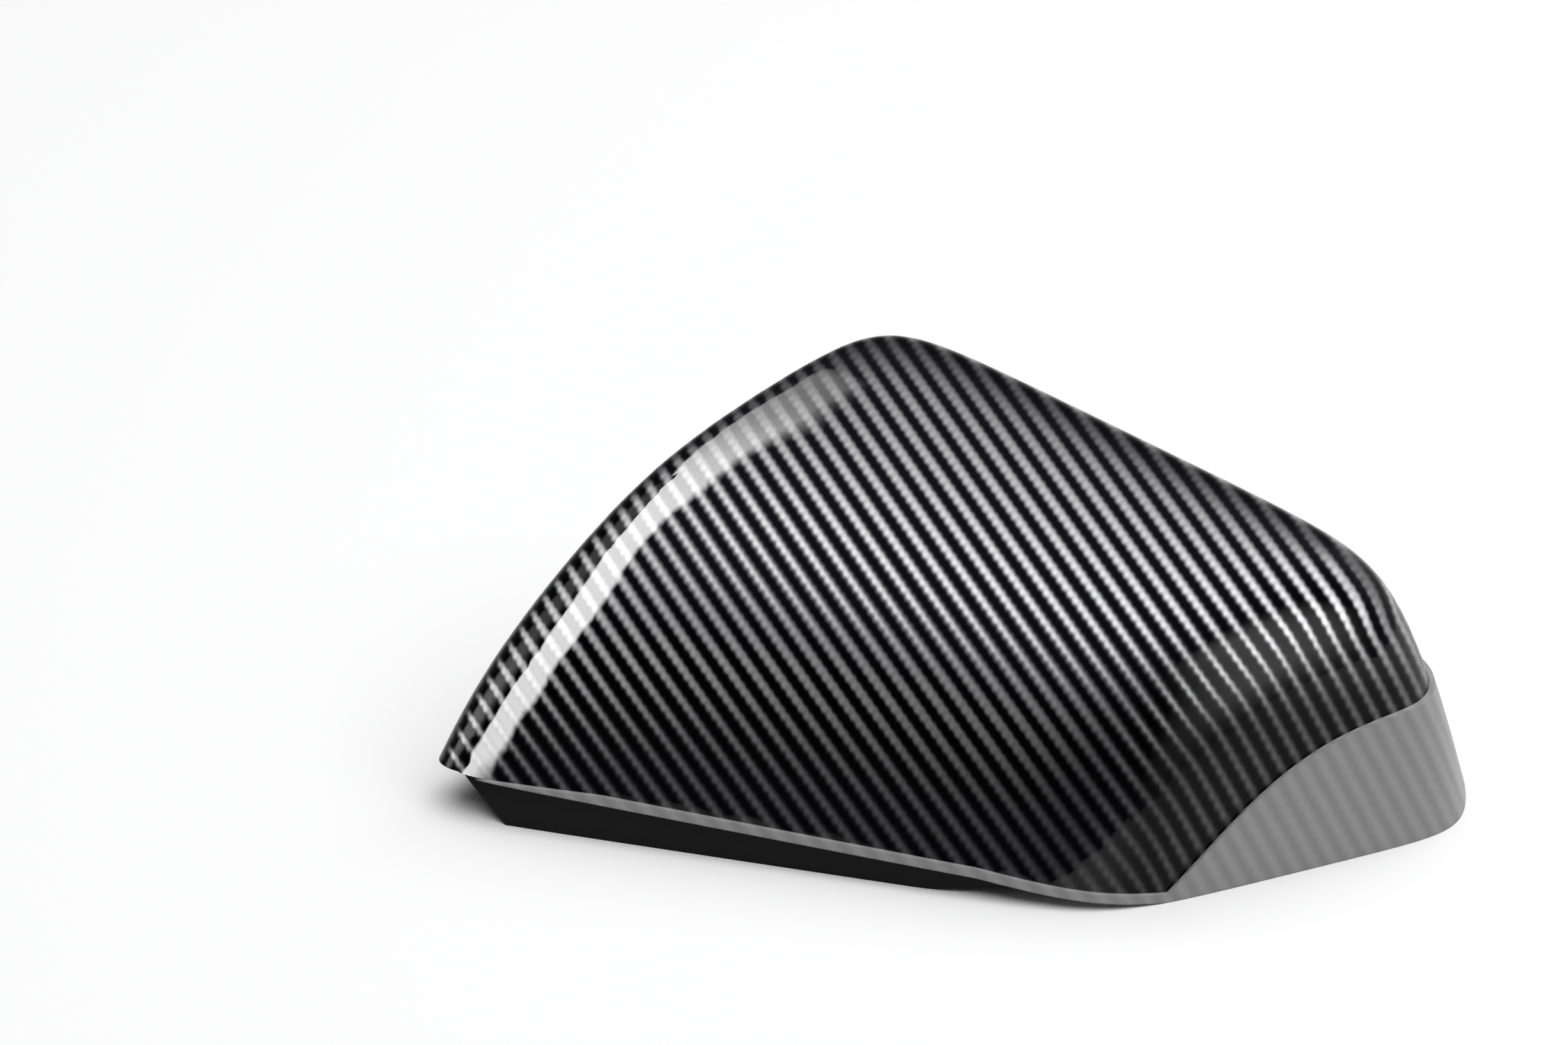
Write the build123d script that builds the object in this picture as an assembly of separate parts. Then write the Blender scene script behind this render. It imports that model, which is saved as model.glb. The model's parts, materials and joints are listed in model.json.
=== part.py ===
from build123d import *
import os
from dataclasses import dataclass

import numpy as np

# Wing mirror cover: one thin moulded shell that clips over the front of a mirror housing.
# It is drawn as it lies on its open rim. +X runs from the pointed tip to the blunt end, +Y to the
# back wall and +Z up to the crown. Sizes are in millimetres and angles in degrees.


@dataclass(frozen=True)
class Sheet:
    """One large face of the form.

    bearing is the way it faces in plan, lean is how far it tips back from upright, and reach is its
    distance from the hub, the point on the rim plane that the form is drawn around.
    """

    bearing: float
    lean: float
    reach: float

    def normal(self):
        """Unit vector that points out of the face."""
        turn = np.radians(self.bearing)
        tip = np.radians(self.lean)
        return np.array([np.cos(turn) * np.cos(tip), np.sin(turn) * np.cos(tip), np.sin(tip)])

    def distance(self, points):
        """How far points lie outside the face."""
        return points @ self.normal() - self.reach


# Faces of the crown, which blend softly into each other
MAIN_FACE = Sheet(bearing=-102.4, lean=42.5, reach=60.4)
LOWER_FACE = Sheet(bearing=-105.8, lean=14.7, reach=53.2)
UPPER_FACE = Sheet(bearing=-93.8, lean=65.6, reach=68.1)
SHOULDER = Sheet(bearing=-59.1, lean=31.0, reach=104.4)
END_FACE = Sheet(bearing=-65.9, lean=10.6, reach=73.8)
END_WALL = Sheet(bearing=-4.2, lean=13.1, reach=121.2)
TIP_FACE = Sheet(bearing=-129.2, lean=46.9, reach=82.2)
END_SHOULDER = Sheet(bearing=-21.9, lean=43.2, reach=124.6)

# Steep walls behind the ridge
RIDGE_WALL = Sheet(bearing=126.5, lean=7.1, reach=67.1)
CREST_WALL = Sheet(bearing=53.5, lean=24.7, reach=75.4)
BACK_WALL = Sheet(bearing=92.5, lean=5.3, reach=74.1)
TIP_WALL = Sheet(bearing=156.3, lean=18.1, reach=110.4)

# How softly faces run into each other: a larger value is a rounder edge
CROWN_SOFTNESS = 5.2
WALL_SOFTNESS = 6.3
RIDGE_SOFTNESS_TIP = 5.7
RIDGE_SOFTNESS_END = 6.6
RIDGE_START_X = -105.0
RIDGE_END_X = 95.0

# Moulding: wall, how far the plain zone stands proud of it, and how far the tongue is set in
WALL = 2.8
STEP = 1.0
REBATE = 1.4

# Lip: lower edge of the outer skin, raised off the rim plane from the tip to the lip's end
LIP_TIP_HEIGHT = 11.0
LIP_KNEE_HEIGHT = 5.4
LIP_FROM_TIP = 6.0
LIP_KNEE_FROM_END = 117.0
LIP_STOP_FROM_END = 73.0

# Bead: the narrow end of the raised band along the lip, which runs out before the tip
BEAD_HEIGHT = 2.0
BEAD_FROM_TIP = 14.0
BEAD_TAPER = 30.0

# Tongue: the wall below the lip, set in by the rebate, that tucks inside the housing
TONGUE_FROM_TIP = 21.0
TONGUE_SLANT = 45.0
TONGUE_STOP_FROM_END = 131.0
TONGUE_ARCH_LENGTH = 26.0

# Plain zone: the raised band that widens from the bead at the blunt end and wraps round to the back
ZONE_HEIGHT = 32.0
ZONE_TOP_FROM_END = 15.0
ZONE_RISE_ANGLE = 40.0
ZONE_BACK_HEIGHT = 62.0
ZONE_BACK_FROM_TIP = 94.0
ZONE_HOOK = 16.0
ZONE_HOOK_DROP = 12.0
ZONE_HOOK_CORNER = 5.0
ZONE_SPLIT_Y = -8.0

# Stiffening ribs on the inside
RIB_THICKNESS = 1.6
RIB_DEPTH = 6.0
RIB_CLEARANCE = 12.0
CROSS_RIBS = 3
LONG_RIB_Y = 6.0

# Catch lugs on the inside, which take the housing's snap fingers
LUG_BEARINGS = (-150.0, -112.0, -45.0, 12.0, 75.0, 118.0)
LUG_WIDTH = 16.0
LUG_DEPTH = 8.0
LUG_HEIGHT = 12.0
LUG_FOOT = 16.0
LUG_SLOT_WIDTH = 10.0
LUG_SLOT_DEPTH = 3.0
LUG_BAR = 2.5

# Drawing of the skins: the focus that rays start from, the margin past the foot, the point grid and
# its fit, how many bearings the foot is traced at, and how finely rays and slopes are found
FOCUS_DEPTH = 140.0
SKIRT = 14.0
GRID_PITCH = 4.0
SKIN_TOLERANCE = 0.05
SKIN_SMOOTHING = (1.0, 1.0, 1.0)
FOOT_BEARINGS = 360
CAST_HALVINGS = 60
SLOPE_PROBE = 0.01

CROWN_SHEETS = (MAIN_FACE, LOWER_FACE, UPPER_FACE, SHOULDER, END_FACE, END_WALL, TIP_FACE, END_SHOULDER)
WALL_SHEETS = (RIDGE_WALL, CREST_WALL, BACK_WALL, TIP_WALL)
FAR = FOCUS_DEPTH + 2 * max(sheet.reach for sheet in CROWN_SHEETS + WALL_SHEETS)


def soft_max(distances, softness):
    """Largest of several distances, with the corner between them rounded off."""
    top = np.max(distances, axis=0)
    return top + softness * np.log(np.sum(np.exp((distances - top) / softness), axis=0))


def skin_level(points):
    """Level of points: zero on the outer skin, negative inside it and positive outside."""
    crown = soft_max(np.stack([sheet.distance(points) for sheet in CROWN_SHEETS]), CROWN_SOFTNESS)
    walls = soft_max(np.stack([sheet.distance(points) for sheet in WALL_SHEETS]), WALL_SOFTNESS)
    along = (points[..., 0] - RIDGE_START_X) / (RIDGE_END_X - RIDGE_START_X)
    ridge = RIDGE_SOFTNESS_TIP + (RIDGE_SOFTNESS_END - RIDGE_SOFTNESS_TIP) * np.clip(along, 0.0, 1.0)
    return soft_max(np.stack([crown, walls]), ridge)


def cast(start, directions, level):
    """Points where rays from a start inside the form reach a level."""
    near = np.zeros(directions.shape[:-1])
    far = np.full(directions.shape[:-1], FAR)
    for _ in range(CAST_HALVINGS):
        middle = 0.5 * (near + far)
        inside = skin_level(start + directions * middle[..., None]) < level
        near = np.where(inside, middle, near)
        far = np.where(inside, far, middle)
    return start + directions * near[..., None]


def plan_direction(bearing):
    """Unit vector in plan at a bearing."""
    turn = np.radians(bearing)
    return np.stack([np.cos(turn), np.sin(turn), np.zeros_like(turn)], axis=-1)


# Where the skin meets the rim plane, and its two ends
FOOT_TURNS = np.linspace(0.0, 360.0, FOOT_BEARINGS, endpoint=False)
FOOT = cast(np.zeros(3), plan_direction(FOOT_TURNS), 0.0)
TIP_X = float(FOOT[:, 0].min())
END_X = float(FOOT[:, 0].max())
LIP_START_X = TIP_X + LIP_FROM_TIP
LIP_KNEE_X = END_X - LIP_KNEE_FROM_END
LIP_STOP_X = END_X - LIP_STOP_FROM_END
BEAD_START_X = TIP_X + BEAD_FROM_TIP
BEAD_FULL_X = BEAD_START_X + BEAD_TAPER
TONGUE_START_X = TIP_X + TONGUE_FROM_TIP
TONGUE_STOP_X = END_X - TONGUE_STOP_FROM_END
ZONE_TOP_X = END_X - ZONE_TOP_FROM_END
ZONE_BACK_X = TIP_X + ZONE_BACK_FROM_TIP


def skin(level):
    """Smooth face at a level, drawn by rays from a focus under the rim and ending below it all round."""
    low = FOOT.min(axis=0) - SKIRT
    high = FOOT.max(axis=0) + SKIRT
    xs = np.linspace(low[0], high[0], int((high[0] - low[0]) / GRID_PITCH))
    ys = np.linspace(low[1], high[1], int((high[1] - low[1]) / GRID_PITCH))
    grid_x, grid_y = np.meshgrid(xs, ys, indexing="ij")
    focus = np.array([0.0, 0.0, -FOCUS_DEPTH])
    directions = np.stack([grid_x, grid_y, np.zeros_like(grid_x)], axis=-1) - focus
    directions /= np.linalg.norm(directions, axis=-1, keepdims=True)
    points = cast(focus, directions, level)
    rows = [[tuple(point) for point in row] for row in points.tolist()]
    return Face.make_surface_from_array_of_points(rows, SKIN_TOLERANCE, SKIN_SMOOTHING, min_deg=3, max_deg=5)


def mass(level):
    """Solid that fills the form under a level, down past the rim plane."""
    return extrude(skin(level), amount=FAR, dir=(0, 0, -1))


def above(height):
    """Everything above a height."""
    return Pos(0, 0, height + FAR / 2) * Box(2 * FAR, 2 * FAR, FAR)


def side_prism(outline, front, back):
    """Prism with a side outline of edges in (x, z), between two y positions."""
    face = Plane((0, back, 0), x_dir=(1, 0, 0), z_dir=(0, -1, 0)) * make_face(outline)
    return extrude(face, amount=back - front, dir=(0, -1, 0))


def lip_height(x):
    """Height of the lip above the rim plane."""
    places = (LIP_START_X, LIP_KNEE_X, LIP_STOP_X)
    return float(np.interp(x, places, (LIP_TIP_HEIGHT, LIP_KNEE_HEIGHT, 0.0)))


def lip_line():
    """Side view of the lip from beyond the tip to its end."""
    return Polyline([(x, lip_height(x)) for x in (-FAR, LIP_START_X, LIP_KNEE_X, LIP_STOP_X)])


def bead_line(stop):
    """Side view of the bead's upper edge, from the lip near the tip to a stop."""
    places = [BEAD_FULL_X] + [x for x in (LIP_KNEE_X,) if x < stop] + [stop]
    start = (BEAD_START_X, lip_height(BEAD_START_X))
    return Polyline([start] + [(x, lip_height(x) + BEAD_HEIGHT) for x in places])


def front_band():
    """Space of the raised band in front: the bead along the lip, then the curve up to the plain zone."""
    bead = bead_line(LIP_STOP_X)
    top = (ZONE_TOP_X, ZONE_HEIGHT)
    rise = np.radians(ZONE_RISE_ANGLE)
    curve = Spline(bead @ 1, top, tangents=[(np.cos(rise), np.sin(rise)), (1.0, 0.0)])
    rest = Polyline(top, (FAR, ZONE_HEIGHT), (FAR, -FAR), (BEAD_START_X, -FAR), bead @ 0)
    return side_prism(bead.edges() + curve.edges() + rest.edges(), -FAR, ZONE_SPLIT_Y)


def back_band():
    """Space of the raised band behind: the bead along the lip, and the plain zone with its hooked end."""
    bead = bead_line(ZONE_BACK_X)
    corner = (ZONE_BACK_X - ZONE_HOOK + ZONE_HOOK_CORNER, ZONE_BACK_HEIGHT)
    hook = Spline(bead @ 1, (ZONE_BACK_X - ZONE_HOOK, ZONE_BACK_HEIGHT - ZONE_HOOK_DROP), corner)
    top = (ZONE_TOP_X, ZONE_HEIGHT)
    rest = Polyline(corner, top, (FAR, ZONE_HEIGHT), (FAR, -FAR), (BEAD_START_X, -FAR), bead @ 0)
    return side_prism(bead.edges() + hook.edges() + rest.edges(), ZONE_SPLIT_Y, FAR)


def under_lip():
    """Space below the lip, on every side."""
    lip = lip_line()
    rest = Polyline(lip @ 1, (LIP_STOP_X, -FAR), (-FAR, -FAR), lip @ 0)
    return side_prism(lip.edges() + rest.edges(), -FAR, FAR)


def under_tip():
    """Space beyond the tongue's slanted end, under the tip."""
    run = LIP_TIP_HEIGHT / np.tan(np.radians(TONGUE_SLANT))
    foot = (TONGUE_START_X, 0.0)
    slant = (TONGUE_START_X - run, LIP_TIP_HEIGHT)
    edges = Polyline(foot, slant, (-FAR, LIP_TIP_HEIGHT), (-FAR, -FAR), (TONGUE_START_X, -FAR), close=True)
    return side_prism(edges.edges(), -FAR, FAR)


def under_front():
    """Space beyond the tongue's other end, where the front wall arches up to the lip."""
    arch_x = TONGUE_STOP_X + TONGUE_ARCH_LENGTH
    arch_top = lip_height(arch_x)
    arch = Spline((TONGUE_STOP_X, 0.0), (arch_x, arch_top), tangents=[(1.0, 0.0), (1.0, 0.0)])
    rest = Polyline(arch @ 1, (LIP_STOP_X, 0.0), (LIP_STOP_X, -FAR), (TONGUE_STOP_X, -FAR), arch @ 0)
    return side_prism(arch.edges() + rest.edges(), -FAR, ZONE_SPLIT_Y)


def rib_plates():
    """Upright plates of the ribs, across and along, clear of the rim."""
    gap = (END_X - TIP_X) / (CROSS_RIBS + 1)
    spots = [TIP_X + gap * (i + 1) for i in range(CROSS_RIBS)]
    plates = [Pos(x, 0, 0) * Box(RIB_THICKNESS, 2 * FAR, 2 * FAR) for x in spots]
    plates.append(Pos(0, LONG_RIB_Y, 0) * Box(2 * FAR, RIB_THICKNESS, 2 * FAR))
    return [plate & above(RIB_CLEARANCE) for plate in plates]


def lug(bearing):
    """Catch lug at a bearing: a block through the inner wall, with an upright slot for a snap finger."""
    seat = cast(np.array([0.0, 0.0, LUG_FOOT]), plan_direction(bearing), -WALL)
    slope_x = skin_level(seat + np.array([SLOPE_PROBE, 0.0, 0.0])) - skin_level(seat)
    slope_y = skin_level(seat + np.array([0.0, SLOPE_PROBE, 0.0])) - skin_level(seat)
    facing = float(np.degrees(np.arctan2(slope_y, slope_x)))
    place = Pos(seat[0], seat[1], LUG_FOOT + LUG_HEIGHT / 2) * Rot(0, 0, facing)
    block = place * Box(2 * LUG_DEPTH, LUG_WIDTH, LUG_HEIGHT)
    slot_x = LUG_BAR + LUG_SLOT_DEPTH / 2 - LUG_DEPTH
    slot = place * Pos(slot_x, 0, 0) * Box(LUG_SLOT_DEPTH, LUG_SLOT_WIDTH, 2 * LUG_HEIGHT)
    return block - slot


def hollow():
    """The space inside the cover, with the ribs and lugs left standing."""
    space = mass(-WALL)
    core = mass(-WALL - RIB_DEPTH)
    for plate in rib_plates():
        space = space - (plate - core)
    for bearing in LUG_BEARINGS:
        space = space - lug(bearing)
    return space


def centred(body):
    """The body moved so that the origin is the centre of its box on the rim plane."""
    corners, _ = body.tessellate(SKIN_TOLERANCE)
    places = np.array([tuple(corner) for corner in corners])
    middle = 0.5 * (places.min(axis=0) + places.max(axis=0))
    return Pos(-middle[0], -middle[1], 0) * body


def cover():
    """The whole cover: skin, raised band, lip and tongue, hollowed out from below."""
    proud = mass(STEP) & above(0.0)
    body = mass(0.0) & above(0.0)
    body = body + (proud & front_band()) + (proud & back_band())
    body = body - (under_lip() - mass(-REBATE))
    body = body - hollow()
    body = body - under_tip() - under_front()
    return centred(body)


if __name__ == "__main__":
    os.makedirs("parts", exist_ok=True)
    export_step(cover(), "parts/cover_shell.step")
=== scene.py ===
import json
import logging
import math
from dataclasses import dataclass, field
from enum import Enum
from typing import Any, Dict, Iterable, List, Optional, Set, Tuple, Union

import bmesh
import bpy
from mathutils import Matrix, Vector
from mathutils.bvhtree import BVHTree

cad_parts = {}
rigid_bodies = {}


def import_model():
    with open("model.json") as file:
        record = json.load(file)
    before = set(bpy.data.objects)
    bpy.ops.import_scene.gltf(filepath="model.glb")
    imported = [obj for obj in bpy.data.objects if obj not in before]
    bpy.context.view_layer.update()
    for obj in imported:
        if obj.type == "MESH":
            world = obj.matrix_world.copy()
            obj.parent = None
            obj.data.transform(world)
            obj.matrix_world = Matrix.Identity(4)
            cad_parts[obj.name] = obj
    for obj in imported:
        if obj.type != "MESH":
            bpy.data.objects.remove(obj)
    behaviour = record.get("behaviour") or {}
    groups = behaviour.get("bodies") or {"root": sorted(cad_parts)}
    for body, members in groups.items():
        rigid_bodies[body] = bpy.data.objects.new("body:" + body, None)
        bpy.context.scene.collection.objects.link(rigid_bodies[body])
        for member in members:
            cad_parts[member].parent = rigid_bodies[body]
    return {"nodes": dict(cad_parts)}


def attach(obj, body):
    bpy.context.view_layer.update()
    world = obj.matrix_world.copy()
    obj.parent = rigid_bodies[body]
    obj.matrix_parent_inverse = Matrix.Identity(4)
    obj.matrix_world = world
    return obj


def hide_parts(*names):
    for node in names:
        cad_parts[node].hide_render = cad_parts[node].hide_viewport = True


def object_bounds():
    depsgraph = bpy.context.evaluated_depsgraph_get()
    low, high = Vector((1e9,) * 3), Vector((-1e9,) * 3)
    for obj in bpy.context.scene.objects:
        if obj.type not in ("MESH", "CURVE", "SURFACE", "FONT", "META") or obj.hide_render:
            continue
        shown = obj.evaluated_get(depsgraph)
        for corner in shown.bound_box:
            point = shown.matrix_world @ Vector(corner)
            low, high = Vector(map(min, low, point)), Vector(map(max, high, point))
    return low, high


bpy.data.batch_remove(list(bpy.data.objects))
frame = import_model()
CAD_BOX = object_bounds()

LOG = logging.getLogger("mirror_cover")
NODE = "cover_shell"
BODY = "root"
MILLIMETRE = 0.001
MILLIMETRES_A_METRE = 1.0 / MILLIMETRE
HALF_CYCLE = 0.5
WAVE_MIDDLE = 0.5
BEVEL_SAMPLES = 6
ROW_DIGITS = 4

Number = Union[int, float]
Pair = Tuple[float, float]
Triple = Tuple[float, float, float]
Colour = Tuple[float, float, float, float]

X_AXIS: Triple = (1.0, 0.0, 0.0)
Y_AXIS: Triple = (0.0, 1.0, 0.0)
Z_AXIS: Triple = (0.0, 0.0, 1.0)


class Gloss(Enum):
    """Which gloss shows a card of light."""

    CLEAR = 0
    ROUGH = 1


class MixColour(Enum):
    """Places of a Mix node's two colour sockets, which share their names with others."""

    FIRST = 6
    SECOND = 7


class Region(Enum):
    """Kinds of surface on the moulding, in the order of the material slots."""

    FILM = 0
    BAND = 1
    PLASTIC = 2


class Value:
    """A shader value: an output socket that takes part in Python expressions.

    Args:
        shader: the shader that the socket's node is in.
        socket: the output socket.
    """

    def __init__(self, shader: "Shader", socket: bpy.types.NodeSocket) -> None:
        self.shader = shader
        self.socket = socket

    def math(self, operation: str, *others: "Operand") -> "Value":
        """Add a Math node.

        Args:
            operation: the Math node's operation.
            others: what follows this value in the node's sockets.

        Returns:
            The node's result.
        """
        return self.shader.math(operation, self, *others)

    def __add__(self, other: "Operand") -> "Value":
        """Sum."""
        return self.math("ADD", other)

    def __radd__(self, other: "Operand") -> "Value":
        """Sum with the value on the right."""
        return self.math("ADD", other)

    def __sub__(self, other: "Operand") -> "Value":
        """Difference."""
        return self.math("SUBTRACT", other)

    def __rsub__(self, other: "Operand") -> "Value":
        """Difference with the value on the right."""
        return self.shader.math("SUBTRACT", other, self)

    def __mul__(self, other: "Operand") -> "Value":
        """Product."""
        return self.math("MULTIPLY", other)

    def __rmul__(self, other: "Operand") -> "Value":
        """Product with the value on the right."""
        return self.math("MULTIPLY", other)

    def wave(self) -> "Value":
        """Triangle wave of one cycle per unit, from 0 at whole numbers to 1 halfway."""
        return self.math("PINGPONG", HALF_CYCLE) * (1.0 / HALF_CYCLE)

    def between(self, low: float, high: float) -> "Value":
        """Soft step.

        Args:
            low: where the step starts.
            high: where the step ends.

        Returns:
            0 below the step, 1 above it and a smooth rise between.
        """
        settings = {"interpolation_type": "SMOOTHSTEP"}
        inputs = {"Value": self, "From Min": low, "From Max": high}
        return self.shader.add("ShaderNodeMapRange", settings, inputs)["Result"]


Owner = Union[bpy.types.Material, bpy.types.World]
Operand = Union[Value, Number]
Input = Union[Value, Number, Iterable[float]]
Sockets = Dict[Union[str, int], Input]


class Shader:
    """The nodes of a material or the sky.

    Args:
        owner: what the nodes belong to.
    """

    def __init__(self, owner: Owner) -> None:
        self.owner = owner
        owner.use_nodes = True
        self.tree = owner.node_tree
        self.tree.nodes.clear()

    def add(self, kind: str, settings: Dict[str, Any], inputs: Sockets) -> Dict[str, Value]:
        """Add any node.

        Args:
            kind: the node's type name.
            settings: properties that are set first.
            inputs: values or links of its sockets, by name or place.

        Returns:
            The node's outputs by name.
        """
        node = self.tree.nodes.new(kind)
        for name, setting in settings.items():
            setattr(node, name, setting)
        for key, value in inputs.items():
            socket = node.inputs[key]
            if isinstance(value, Value):
                self.tree.links.new(value.socket, socket)
            else:
                socket.default_value = value
        return {output.name: Value(self, output) for output in node.outputs if output.enabled}

    def math(self, operation: str, *operands: Operand) -> Value:
        """Add a Math node.

        Args:
            operation: the Math node's operation.
            operands: values of its sockets, in order.

        Returns:
            The node's result.
        """
        inputs = dict(enumerate(operands))
        return self.add("ShaderNodeMath", {"operation": operation}, inputs)["Value"]

    def vector(self, operation: str, inputs: Sockets) -> Dict[str, Value]:
        """Add a Vector Math node.

        Args:
            operation: the node's operation.
            inputs: values or links of its sockets, by name or place.

        Returns:
            The node's outputs by name.
        """
        return self.add("ShaderNodeVectorMath", {"operation": operation}, inputs)

    def place(self) -> Value:
        """Position on the piece in metres, or the direction of a point in the sky."""
        return self.add("ShaderNodeTexCoord", {}, {})["Object"]

    def along(self, place: Value, direction: Triple) -> Value:
        """Distance along a direction.

        Args:
            place: a position.
            direction: the direction, whose length is the scale.

        Returns:
            The dot product of both.
        """
        return self.vector("DOT_PRODUCT", {0: place, 1: direction})["Value"]

    def blend(self, share: Value, first: Input, second: Input) -> Value:
        """Colour between two colours.

        Args:
            share: 0 for the first colour and 1 for the second.
            first: a colour.
            second: a colour.

        Returns:
            The mixed colour.
        """
        inputs = {"Factor": share, MixColour.FIRST.value: first, MixColour.SECOND.value: second}
        return self.add("ShaderNodeMix", {"data_type": "RGBA"}, inputs)["Result"]

    def rounded(self, radius: float) -> Value:
        """Normal with the sharp edges rounded off by a radius."""
        return self.add("ShaderNodeBevel", {"samples": BEVEL_SAMPLES}, {"Radius": radius})["Normal"]

    def facing(self) -> Value:
        """Normal of the surface as it is."""
        return self.add("ShaderNodeNewGeometry", {}, {})["Normal"]

    def leaning(self, normal: Value, lie: Triple, share: Value) -> Value:
        """Normal that leans over.

        Args:
            normal: the normal to lean.
            lie: how far it leans and which way.
            share: how much of the lean is taken.

        Returns:
            The new normal.
        """
        lean = self.vector("SCALE", {0: lie, "Scale": share})["Vector"]
        leaned = self.vector("ADD", {0: normal, 1: lean})["Vector"]
        return self.vector("NORMALIZE", {0: leaned})["Vector"]

    def mirrored(self) -> Value:
        """1 where the light is seen in clear gloss and 0 elsewhere."""
        return self.add("ShaderNodeLightPath", {}, {})["Is Singular Ray"]

    def finish(self, inputs: Dict[str, Input]) -> bpy.types.Material:
        """Close the material with one surface shader.

        Args:
            inputs: values or links of the surface shader's sockets.

        Returns:
            The finished material.
        """
        surface = self.add("ShaderNodeBsdfPrincipled", {}, inputs)["BSDF"]
        self.add("ShaderNodeOutputMaterial", {}, {"Surface": surface})
        return self.owner


def grey(level: float) -> Colour:
    """Opaque grey of a linear level."""
    return (level, level, level, 1.0)


def opaque(tone: Triple) -> Colour:
    """Opaque colour of linear levels."""
    return (*tone, 1.0)


def scaled(way: Triple, scale: float) -> Triple:
    """Direction with its length multiplied."""
    return (way[0] * scale, way[1] * scale, way[2] * scale)


@dataclass(frozen=True)
class TwillStripes:
    """The twill's stripes, as flat layers through the part.

    Attributes:
        across: the way across the stripes, in cycles a millimetre.
        phase: where the first stripe lies, in cycles.
        run: the way along the stripes.
        tow_length: length of one tow on a stripe, in millimetres.
        tow_shift: how far the tows of the next stripe are shifted, in tows.
        sway: how far a stripe's edge swings at each tow, in cycles.
        turn: how the way across changes on the blunt end, in cycles a millimetre.
        turn_phase: cycles that keep the stripes whole where they turn.
        turn_from: how far a face looks to the blunt end where the turn starts.
        turn_to: the same where it is complete.
        turn_height: heights between which the turn ends, in millimetres.
        over: how the way across changes behind the crest, in cycles a millimetre.
        over_phase: cycles that keep the stripes whole on the crest.
        over_side: how far a face looks to the blunt end where the crest's fold moves forward.
        over_lead: how fast the fold moves forward past that.
        over_from: how far a face looks back where the fold is.
        over_start: how far a face looks to the blunt end where the crest starts.
    """

    across: Triple = (0.1847, 0.0551, 0.1221)
    phase: float = 0.879
    run: Triple = (0.549, -0.633, -0.546)
    tow_length: float = 2.2
    tow_shift: float = 0.5
    sway: float = 0.06
    turn: Triple = (-0.0069, 0.0566, -0.0299)
    turn_phase: float = 4.4
    turn_from: float = 0.22
    turn_to: float = 0.36
    turn_height: Pair = (50.0, 62.0)
    over: Triple = (-0.0851, -0.0082, -0.3205)
    over_phase: float = 28.736
    over_side: float = 0.47
    over_lead: float = 1.2
    over_from: float = 0.47
    over_start: float = 0.2

    def mask(self, shader: Shader, low: float, high: float) -> Tuple[Value, Value]:
        """Draw the stripes.

        Args:
            shader: the shader to draw in.
            low: level of the wave where a light stripe starts.
            high: level of the wave where it is full.

        Returns:
            1 on light stripes and 0 on dark ones, and the wave of the tows along a stripe.
        """
        place = shader.place()
        facing = shader.facing()
        aside = shader.along(facing, X_AXIS)
        above = shader.along(place, scaled(Z_AXIS, MILLIMETRES_A_METRE)).between(*self.turn_height)
        turned = aside.between(self.turn_from, self.turn_to) * (1 - above)
        lead = (aside - self.over_side).math("MAXIMUM", 0.0) * self.over_lead
        back = shader.along(facing, Y_AXIS) + lead
        behind = back.math("GREATER_THAN", self.over_from) * aside.math("GREATER_THAN", self.over_start)
        bend = shader.along(place, scaled(self.turn, MILLIMETRES_A_METRE)) + self.turn_phase
        fold = shader.along(place, scaled(self.over, MILLIMETRES_A_METRE)) + self.over_phase
        across = shader.along(place, scaled(self.across, MILLIMETRES_A_METRE)) + self.phase
        across = across + (1 - behind) * turned * bend + behind * fold
        tows_a_metre = MILLIMETRES_A_METRE / (Vector(self.run).length * self.tow_length)
        run = shader.along(place, scaled(self.run, tows_a_metre))
        tow = (run + across * self.tow_shift).wave()
        swayed = across + (tow - WAVE_MIDDLE) * self.sway
        return swayed.wave().between(low, high), tow


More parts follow.
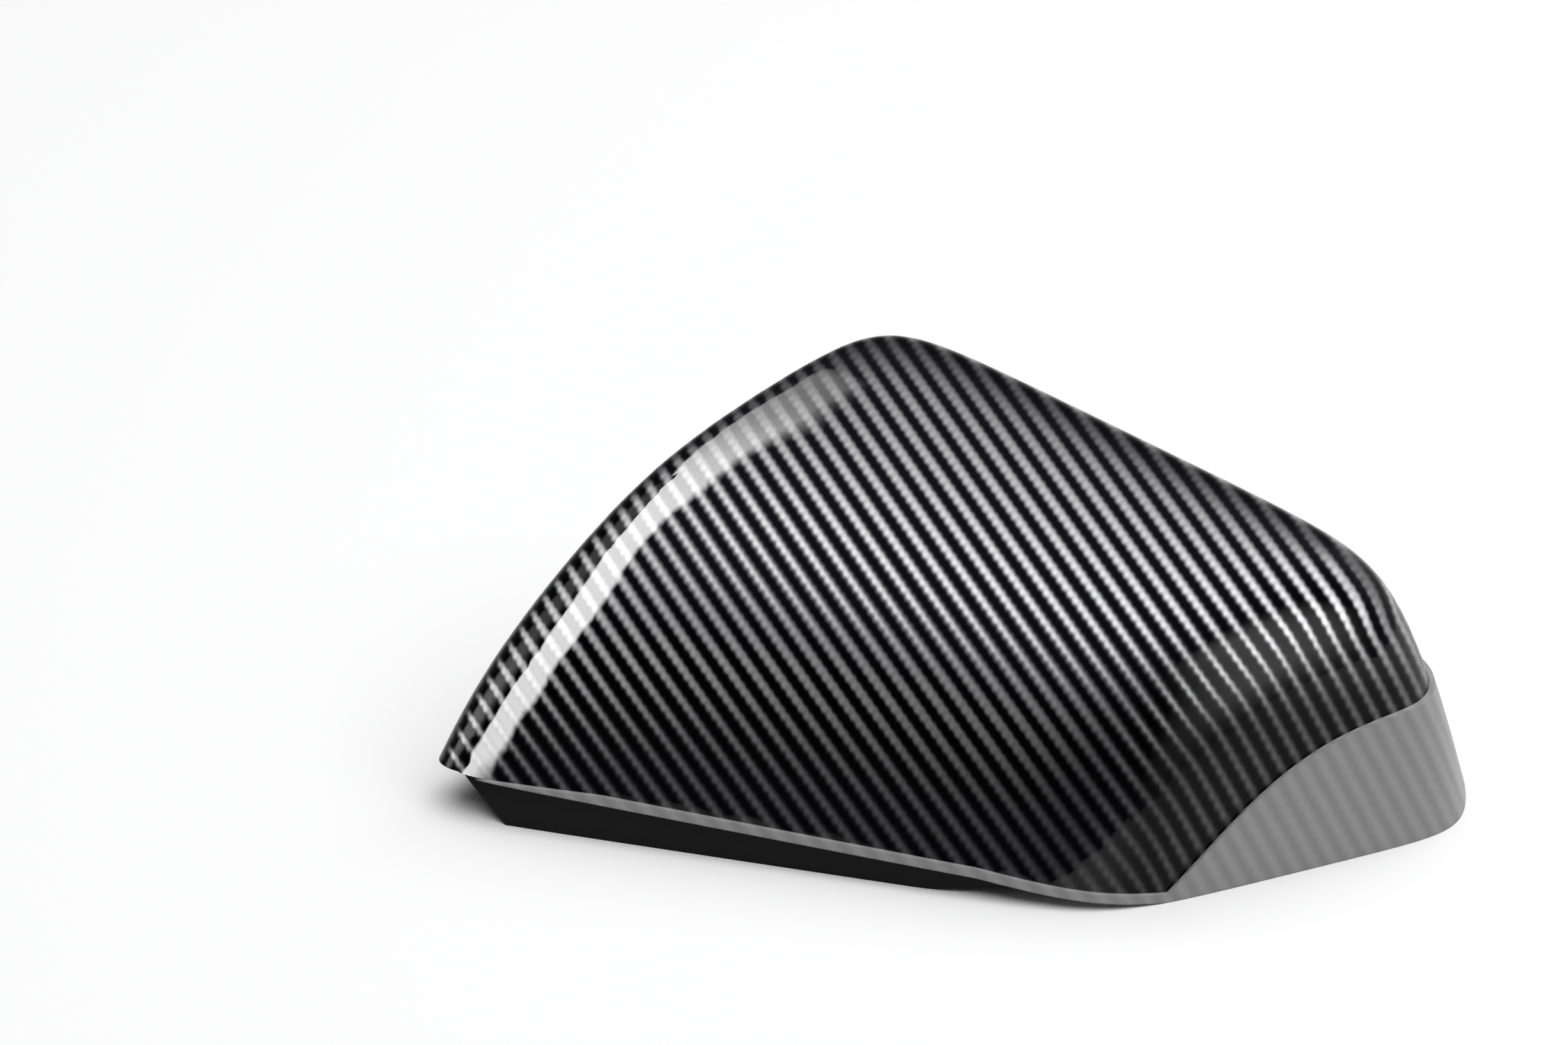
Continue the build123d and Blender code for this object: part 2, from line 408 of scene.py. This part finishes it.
@dataclass(frozen=True)
class TwillFilm:
    """Glossy film with light and dark twill stripes, with painted shade on its lower blunt end.

    Attributes:
        stripes: where the stripes lie.
        stripe_edge: levels of the stripes' wave between which a stripe turns from dark to light.
        tow_dip: share of a light stripe's level that is lost between two tows.
        dark: colour of the dark stripes.
        light: colour of the light stripes.
        dark_roughness: roughness of the dark stripes.
        light_roughness: roughness of the light stripes.
        dark_coat: weight of the clear coat on the dark stripes.
        light_coat: weight of the clear coat on the light stripes.
        coat_bend: refractive index of the clear coat.
        lie: how far the light tows lean in the weave and which way.
        painted_end_shade: share of the level and the coat that the lower blunt end loses, as painted shade:
            the film there is drawn darker and with less clear coat.
        painted_end_shade_from: how far a face looks to the blunt end where that painted shade starts and is
            complete.
        painted_end_shade_height: heights between which that painted shade ends, in metres.
    """

    stripes: TwillStripes = TwillStripes()
    stripe_edge: Pair = (0.12, 0.95)
    tow_dip: float = 0.3
    dark: Triple = (0.003, 0.003, 0.004)
    light: Triple = (0.36, 0.36, 0.365)
    dark_roughness: float = 0.4
    light_roughness: float = 0.35
    dark_coat: float = 0.4
    light_coat: float = 0.34
    coat_bend: float = 1.55
    lie: Triple = (0.42, 0.12, 0.30)
    painted_end_shade: float = 0.6
    painted_end_shade_from: Pair = (0.0, 0.28)
    painted_end_shade_height: Pair = (0.036, 0.050)

    def material(self) -> bpy.types.Material:
        """Make the film's material."""
        shader = Shader(bpy.data.materials.new("twill_film"))
        light, tow = self.stripes.mask(shader, *self.stripe_edge)
        # Painted shade: on faces that look to the blunt end and lie low, the film's level and its coat are
        # cut down, which draws the shade that falls there.
        under = 1 - shader.along(shader.place(), Z_AXIS).between(*self.painted_end_shade_height)
        aside = shader.along(shader.facing(), X_AXIS).between(*self.painted_end_shade_from)
        end_shade_factor = 1 - aside * under * self.painted_end_shade
        shade = light * light * ((1.0 - self.tow_dip) + self.tow_dip * tow) * end_shade_factor
        coat = light * (self.light_coat - self.dark_coat) + self.dark_coat
        return shader.finish({
            "Base Color": shader.blend(shade, opaque(self.dark), opaque(self.light)),
            "Metallic": 1.0,
            "Roughness": light * (self.light_roughness - self.dark_roughness) + self.dark_roughness,
            "Coat Weight": coat * end_shade_factor,
            "Coat Roughness": 0.0,
            "Coat IOR": self.coat_bend,
            "Normal": shader.leaning(shader.facing(), self.lie, light),
        })


@dataclass(frozen=True)
class PaintedReflectionBand:
    """Grey of the raised band, a painted reflection of bright light, with the film's stripes just showing
    through it.

    Attributes:
        stripes: where the stripes lie.
        stripe_edge: levels of the stripes' wave between which a stripe turns from dark to light.
        dark: level of the dark stripes, lifted by the painted reflection.
        light: level of the light stripes, lifted by the painted reflection.
        roughness: roughness of the surface.
        gloss: level of its gloss.
        edge_radius: radius that its edges look rounded by, in metres.
    """

    stripes: TwillStripes = TwillStripes()
    stripe_edge: Pair = (0.0, 1.0)
    dark: float = 0.24
    light: float = 0.31
    roughness: float = 0.38
    gloss: float = 0.4
    edge_radius: float = 0.6 * MILLIMETRE

    def material(self) -> bpy.types.Material:
        """Make the band's material."""
        shader = Shader(bpy.data.materials.new("band_painted_reflection"))
        light, _ = self.stripes.mask(shader, *self.stripe_edge)
        return shader.finish({
            # Painted reflection: the band's even light grey stands in for bright light reflected off it; the
            # faint stripes under it are the film's own pattern.
            "Base Color": shader.blend(light, grey(self.dark), grey(self.light)),
            "Roughness": self.roughness,
            "Specular IOR Level": self.gloss,
            "Normal": shader.rounded(self.edge_radius),
        })


@dataclass(frozen=True)
class BlackPlastic:
    """Dark moulded plastic of the tongue and the inside.

    Attributes:
        level: its grey.
        speckle: shares of that grey between which the grain varies.
        grain: size of the grain, in metres.
        grain_detail: finer layers of the grain.
        grain_depth: depth of the grain, in metres.
        grain_strength: share of that depth which shows.
        roughness: roughness of the smoothest and the roughest grain.
        gloss: level of its gloss.
        edge_radius: radius that its edges look rounded by, in metres.
    """

    level: float = 0.005
    speckle: Pair = (0.9, 1.15)
    grain: float = 0.9 * MILLIMETRE
    grain_detail: float = 3.0
    grain_depth: float = 0.1 * MILLIMETRE
    grain_strength: float = 0.15
    roughness: Pair = (0.42, 0.54)
    gloss: float = 0.2
    edge_radius: float = 0.3 * MILLIMETRE

    def material(self) -> bpy.types.Material:
        """Make the plastic's material."""
        shader = Shader(bpy.data.materials.new("black_plastic"))
        noise = shader.add("ShaderNodeTexNoise", {}, {
            "Vector": shader.place(),
            "Scale": 1.0 / self.grain,
            "Detail": self.grain_detail,
        })["Fac"]
        bump = shader.add("ShaderNodeBump", {}, {
            "Strength": self.grain_strength,
            "Distance": self.grain_depth,
            "Height": noise,
            "Normal": shader.rounded(self.edge_radius),
        })["Normal"]
        dark, light = (grey(self.level * share) for share in self.speckle)
        smooth, rough = self.roughness
        return shader.finish({
            "Base Color": shader.blend(noise, dark, light),
            "Roughness": noise * (rough - smooth) + smooth,
            "Specular IOR Level": self.gloss,
            "Normal": bump,
        })


@dataclass
class CoverShell:
    """The cover's one moulding, dressed over its solid.

    Attributes:
        weld: distance within which the solid's corners are one, in metres.
        crease: angle past which an edge parts two surfaces, in degrees.
        band_height: height at which the band lies on the blunt end, in metres.
        piece: the dressed piece, once it is built.
    """

    weld: float = 1e-6
    crease: float = 24.0
    band_height: float = 15.0 * MILLIMETRE
    piece: Optional[bpy.types.Object] = field(default=None, init=False)

    def build(self) -> bpy.types.Object:
        """Copy the solid as one welded mesh and mark its surfaces.

        Returns:
            The dressed piece.
        """
        solid = frame["nodes"][NODE]
        mesh = bpy.data.meshes.new("cover")
        form = bmesh.new()
        form.from_mesh(solid.data)
        bmesh.ops.remove_doubles(form, verts=form.verts, dist=self.weld)
        form.faces.ensure_lookup_table()
        for face in form.faces:
            face.smooth = True
            face.material_index = Region.PLASTIC.value
        limit = math.radians(self.crease)
        for edge in form.edges:
            edge.smooth = len(edge.link_faces) == 2 and edge.calc_face_angle() < limit
        self.mark(form)
        form.to_mesh(mesh)
        form.free()
        self.piece = bpy.data.objects.new("cover", mesh)
        bpy.context.scene.collection.objects.link(self.piece)
        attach(self.piece, BODY)
        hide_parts(NODE)
        return self.piece

    def mark(self, form: bmesh.types.BMesh) -> None:
        """Give each face the region that it belongs to.

        Args:
            form: the welded mesh.
        """
        tree = BVHTree.FromBMesh(form)
        low, high = CAD_BOX
        reach = (high - low).length
        film = self.spread(form, tree, Vector((0.0, 0.0, reach)), -Vector(Z_AXIS))
        band = self.spread(form, tree, Vector((reach, 0.0, self.band_height)), -Vector(X_AXIS))
        edges = {face.index for face in form.faces if self.joins(face, film, band)}
        steps: Set[int] = set()
        for seed in edges:
            if seed not in steps:
                steps |= self.flood(form.faces[seed])
        for face in form.faces:
            if face.index in film:
                face.material_index = Region.FILM.value
            elif face.index in band or face.index in steps:
                face.material_index = Region.BAND.value
        LOG.info("film %d faces, band %d, steps %d", len(film), len(band), len(steps))

    def spread(self, form: bmesh.types.BMesh, tree: BVHTree, start: Vector, way: Vector) -> Set[int]:
        """Find the smooth surface that a ray meets first.

        Args:
            form: the welded mesh.
            tree: its search tree.
            start: where the ray starts.
            way: the ray's direction.

        Returns:
            Indices of the surface's faces.
        """
        index = tree.ray_cast(start, way)[2]
        return self.flood(form.faces[index])

    def flood(self, seed: bmesh.types.BMFace) -> Set[int]:
        """Collect the faces that run smoothly into one face.

        Args:
            seed: the first face.

        Returns:
            Indices of the faces.
        """
        found = {seed.index}
        open_faces: List[bmesh.types.BMFace] = [seed]
        while open_faces:
            face = open_faces.pop()
            for edge in face.edges:
                if not edge.smooth:
                    continue
                for other in edge.link_faces:
                    if other.index not in found:
                        found.add(other.index)
                        open_faces.append(other)
        return found

    def joins(self, face: bmesh.types.BMFace, film: Set[int], band: Set[int]) -> bool:
        """Tell whether a face is on the step from the film to the band.

        Args:
            face: the face.
            film: indices of the film's faces.
            band: indices of the band's faces.

        Returns:
            True for a face of neither that touches the film.
        """
        if face.index in film or face.index in band:
            return False
        beside = {other.index for edge in face.edges for other in edge.link_faces}
        return bool(beside & film)

    def dress(self) -> None:
        """Give the piece its finishes."""
        for finish in (TwillFilm(), PaintedReflectionBand(), BlackPlastic()):
            self.piece.data.materials.append(finish.material())


@dataclass(frozen=True)
class SoftLamp:
    """A rectangular lamp that faces the part.

    Attributes:
        name: the lamp's name.
        centre: its centre, in metres.
        up: the way its long side runs.
        size: length along up and width, in metres.
        glow: light that it gives off a square metre, as a level.
    """

    name: str
    centre: Triple
    up: Triple
    size: Pair
    glow: float

    def place(self, aim: Vector) -> bpy.types.Object:
        """Add the lamp.

        Args:
            aim: the point that it faces.

        Returns:
            The lamp's object.
        """
        data = bpy.data.lights.new(self.name, "AREA")
        data.shape = "RECTANGLE"
        data.size, data.size_y = self.size[1], self.size[0]
        data.energy = self.glow * math.pi * self.size[0] * self.size[1]
        lamp = bpy.data.objects.new(self.name, data)
        back = (Vector(self.centre) - aim).normalized()
        side = Vector(self.up).cross(back).normalized()
        top = back.cross(side)
        lamp.matrix_world = Matrix.Translation(self.centre) @ Matrix((side, top, back)).transposed().to_4x4()
        lamp.visible_glossy = False
        bpy.context.scene.collection.objects.link(lamp)
        return lamp


@dataclass(frozen=True)
class GlossCard:
    """A bent card of light with soft edges, which shows only in gloss.

    Attributes:
        name: the card's name.
        gloss: which gloss shows it.
        path: directions of points along the card, from its middle.
        widths: how wide it looks at these points, in degrees.
        glow: its level.
        edge: share of its width that each soft edge takes.
        ends: share of its length that each soft end takes.
        fade: shares of its length between which it fades.
        last: share of the glow that is left after the fade.
        middle: the point that it bends round, in metres.
        reach: distance from there to the card, in metres.
        steps: rows of faces between two points.
    """

    name: str
    gloss: Gloss
    path: Tuple[Triple, ...]
    widths: Tuple[float, ...]
    glow: float
    edge: float
    ends: float
    fade: Pair = (0.0, 1.0)
    last: float = 1.0
    middle: Triple = (-0.08, -0.01, 0.055)
    reach: float = 1.0
    steps: int = 6

    def place(self) -> bpy.types.Object:
        """Add the card.

        Returns:
            The card's object.
        """
        form = bmesh.new()
        form.loops.layers.uv.new("card")
        count = (len(self.path) - 1) * self.steps + 1
        bmesh.ops.create_grid(form, x_segments=1, y_segments=count - 1, size=1.0, calc_uvs=True)
        rows = sorted(form.verts, key=lambda vert: (round(vert.co.y, ROW_DIGITS), vert.co.x))
        for row in range(count):
            way, width = self.station(row / self.steps)
            before, after = ((row + shift) / self.steps for shift in (-1, 1))
            ahead = self.station(after)[0] - self.station(before)[0]
            aside = way.cross(ahead).normalized() * math.tan(math.radians(width / 2))
            for vert, side in zip(rows[2 * row:2 * row + 2], (-1, 1)):
                vert.co = Vector(self.middle) + (way + aside * side) * self.reach
        mesh = bpy.data.meshes.new(self.name)
        form.to_mesh(mesh)
        form.free()
        piece = bpy.data.objects.new(self.name, mesh)
        bpy.context.scene.collection.objects.link(piece)
        mesh.materials.append(self.material())
        piece.visible_camera = False
        piece.visible_diffuse = False
        piece.visible_shadow = False
        return piece

    def station(self, place: float) -> Tuple[Vector, float]:
        """Find a point on the smooth curve through the path.

        Args:
            place: how far along, in stations of the path.

        Returns:
            The direction of the point and the card's width there, in degrees.
        """
        last = len(self.path) - 1
        place = min(max(place, 0.0), float(last))
        start = min(int(place), last - 1)
        share = place - start
        picks = [min(max(start + shift, 0), last) for shift in (-1, 0, 1, 2)]
        weights = (
            (-share + 2 * share ** 2 - share ** 3) / 2,
            (2 - 5 * share ** 2 + 3 * share ** 3) / 2,
            (share + 4 * share ** 2 - 3 * share ** 3) / 2,
            (share ** 3 - share ** 2) / 2,
        )
        parts = list(zip(picks, weights))
        way = sum((Vector(self.path[pick]) * weight for pick, weight in parts), Vector())
        width = sum(self.widths[pick] * weight for pick, weight in parts)
        return way.normalized(), width

    def material(self) -> bpy.types.Material:
        """Make the card's light, which fades along it and at its edges."""
        shader = Shader(bpy.data.materials.new(self.name))
        spot = shader.add("ShaderNodeTexCoord", {}, {})["UV"]
        aside = shader.along(spot, X_AXIS)
        ahead = shader.along(spot, Y_AXIS)
        soft = aside.between(0.0, self.edge) * (1 - aside.between(1.0 - self.edge, 1.0))
        soft = soft * ahead.between(0.0, self.ends) * (1 - ahead.between(1.0 - self.ends, 1.0))
        level = soft * (1 - ahead.between(*self.fade) * (1.0 - self.last))
        tone = shader.blend(level, grey(0.0), grey(1.0))
        lit = shader.add("ShaderNodeEmission", {}, {"Color": tone, "Strength": self.glow})["Emission"]
        unlit = shader.add("ShaderNodeBsdfTransparent", {}, {})["BSDF"]
        rough, clear = (unlit, lit) if self.gloss is Gloss.CLEAR else (lit, unlit)
        sockets = {"Fac": shader.mirrored(), 1: rough, 2: clear}
        surface = shader.add("ShaderNodeMixShader", {}, sockets)["Shader"]
        shader.add("ShaderNodeOutputMaterial", {}, {"Surface": surface})
        return shader.owner


@dataclass
class Studio:
    """Pale floor, dim sky, flood lamp and gloss cards around the part.

    Attributes:
        floor_size: length of the floor's sides, in metres.
        floor_level: grey of the floor.
        floor_roughness: roughness of the floor.
        sky: colour of the sky.
        horizon: level of the pale horizon behind the part.
        horizon_heights: heights of a direction between which the horizon ends.
        horizon_depths: how far a direction looks back where the horizon starts and is full.
        aim: point that the flood lamp faces, in metres.
        flood: the lamp that lights the floor and the plain surfaces.
        cards: what the gloss shows.
    """

    floor_size: float = 8.0
    floor_level: float = 0.92
    floor_roughness: float = 0.9
    sky: Triple = (0.024, 0.024, 0.030)
    horizon: float = 0.35
    horizon_heights: Pair = (-0.05, 0.40)
    horizon_depths: Pair = (0.2, 0.8)
    aim: Triple = (0.0, 0.0, 0.04)
    flood: SoftLamp = SoftLamp("flood", centre=(0.5, 0.05, 2.4), up=X_AXIS, size=(4.0, 4.0), glow=2.4)
    cards: Tuple[GlossCard, ...] = (
        GlossCard(
            "key_card", Gloss.ROUGH,
            path=((0.20, 0.26, 0.94), (0.60, 0.32, 0.74), (0.87, 0.32, 0.38)),
            widths=(30.0, 32.0, 30.0),
            glow=3.5, edge=0.15, ends=0.08,
        ),
        GlossCard(
            "side_card", Gloss.ROUGH,
            path=((0.79, 0.08, 0.60), (0.93, 0.12, 0.33), (0.98, 0.15, 0.10)),
            widths=(26.0, 23.0, 19.0),
            glow=5.4, edge=0.2, ends=0.15,
        ),
        GlossCard(
            "front_card", Gloss.ROUGH,
            path=((0.18, -0.12, 0.97), (0.13, -0.40, 0.91), (0.04, -0.71, 0.70)),
            widths=(38.0, 34.0, 26.0),
            glow=1.2, edge=0.25, ends=0.12,
        ),
        GlossCard(
            "top_card", Gloss.ROUGH,
            path=((-0.06, -0.24, 0.97), (-0.08, 0.13, 0.99), (-0.06, 0.46, 0.88), (0.03, 0.74, 0.67)),
            widths=(34.0, 34.0, 32.0, 26.0),
            glow=2.1, edge=0.25, ends=0.15,
        ),
        GlossCard(
            "flank_card", Gloss.ROUGH,
            path=((-0.36, -0.46, 0.81), (-0.36, -0.16, 0.92), (-0.34, 0.20, 0.92), (-0.27, 0.52, 0.81),
                  (-0.18, 0.74, 0.65)),
            widths=(28.0, 28.0, 26.0, 26.0, 24.0),
            glow=3.3, edge=0.2, ends=0.1, fade=(0.25, 0.55), last=0.5,
        ),
        GlossCard(
            "ridge_card", Gloss.CLEAR,
            path=((-0.72, -0.74, -0.04), (-0.745, -0.64, 0.27), (-0.73, -0.485, 0.50), (-0.68, -0.28, 0.69),
                  (-0.60, -0.045, 0.81), (-0.47, 0.10, 0.89), (-0.31, 0.30, 0.92), (-0.19, 0.43, 0.91),
                  (-0.06, 0.50, 0.90)),
            widths=(13.0, 12.5, 11.0, 12.0, 15.5, 20.5, 27.0, 30.0, 24.0),
            glow=37.0, edge=0.14, ends=0.05, fade=(0.55, 1.0), last=0.13,
        ),
        GlossCard(
            "rim_card", Gloss.CLEAR,
            path=((-0.95, -0.30, 0.06), (-0.93, -0.19, 0.30), (-0.86, -0.01, 0.50), (-0.73, 0.15, 0.67),
                  (-0.50, 0.41, 0.76)),
            widths=(34.0, 34.0, 28.0, 24.0, 24.0),
            glow=5.5, edge=0.35, ends=0.1, fade=(0.2, 0.6), last=0.35,
        ),
        GlossCard(
            "fold_card", Gloss.CLEAR,
            path=((0.26, -0.48, 0.84), (0.50, -0.60, 0.62), (0.70, -0.66, 0.28), (0.74, -0.66, -0.12)),
            widths=(24.0, 32.0, 44.0, 44.0),
            glow=2.6, edge=0.5, ends=0.25,
        ),
    )

    def build(self) -> None:
        """Add the floor, the sky, the flood lamp and the cards."""
        self.floor()
        self.world()
        self.flood.place(Vector(self.aim))
        for card in self.cards:
            card.place()

    def floor(self) -> None:
        """Add the floor under the part."""
        form = bmesh.new()
        bmesh.ops.create_grid(form, x_segments=1, y_segments=1, size=self.floor_size / 2)
        mesh = bpy.data.meshes.new("floor")
        form.to_mesh(mesh)
        form.free()
        piece = bpy.data.objects.new("floor", mesh)
        bpy.context.scene.collection.objects.link(piece)
        shader = Shader(bpy.data.materials.new("floor"))
        mesh.materials.append(shader.finish({
            "Base Color": grey(self.floor_level),
            "Roughness": self.floor_roughness,
            "Specular IOR Level": 0.0,
        }))

    def world(self) -> None:
        """Set the sky, dim overhead and pale at the horizon behind."""
        world = bpy.data.worlds.new("sky")
        shader = Shader(world)
        way = shader.place()
        low = 1 - shader.along(way, Z_AXIS).between(*self.horizon_heights)
        behind = shader.along(way, Y_AXIS).between(*self.horizon_depths)
        tone = shader.blend(low * behind, opaque(self.sky), grey(self.horizon))
        surface = shader.add("ShaderNodeBackground", {}, {"Color": tone})["Background"]
        shader.add("ShaderNodeOutputWorld", {}, {"Surface": surface})
        bpy.context.scene.world = world


@dataclass
class PhotoCamera:
    """Camera at the photograph's viewing angle.

    Attributes:
        height: angle that it looks down by, in degrees.
        distance: from the aim to the camera, in metres.
        aim: point at the middle of the picture, in metres.
        focal_pixels: focal length in pixels of the picture.
        picture_width: width of the picture in pixels.
        sensor: sensor width in millimetres.
    """

    height: float = 28.6
    distance: float = 1.3
    aim: Triple = (-0.0403, 0.0032, 0.0621)
    focal_pixels: float = 7930.0
    picture_width: float = 2251.0
    sensor: float = 36.0

    def place(self) -> bpy.types.Object:
        """Add the camera and make it the scene's.

        Returns:
            The camera's object.
        """
        data = bpy.data.cameras.new("camera")
        data.sensor_width = self.sensor
        data.lens = self.focal_pixels * self.sensor / self.picture_width
        camera = bpy.data.objects.new("camera", data)
        tilt = math.radians(self.height)
        back = Vector((0.0, -math.cos(tilt), math.sin(tilt)))
        camera.location = Vector(self.aim) + self.distance * back
        camera.rotation_euler = (math.pi / 2 - tilt, 0.0, 0.0)
        bpy.context.scene.collection.objects.link(camera)
        bpy.context.scene.camera = camera
        return camera


def main() -> None:
    """Build the part's looks, the studio and the camera."""
    logging.basicConfig(level=logging.INFO)
    bpy.context.scene.view_settings.view_transform = "Standard"
    shell = CoverShell()
    piece = shell.build()
    shell.dress()
    LOG.info("%s: %d faces", piece.name, len(piece.data.polygons))
    Studio().build()
    PhotoCamera().place()


if __name__ == "__main__":
    main()
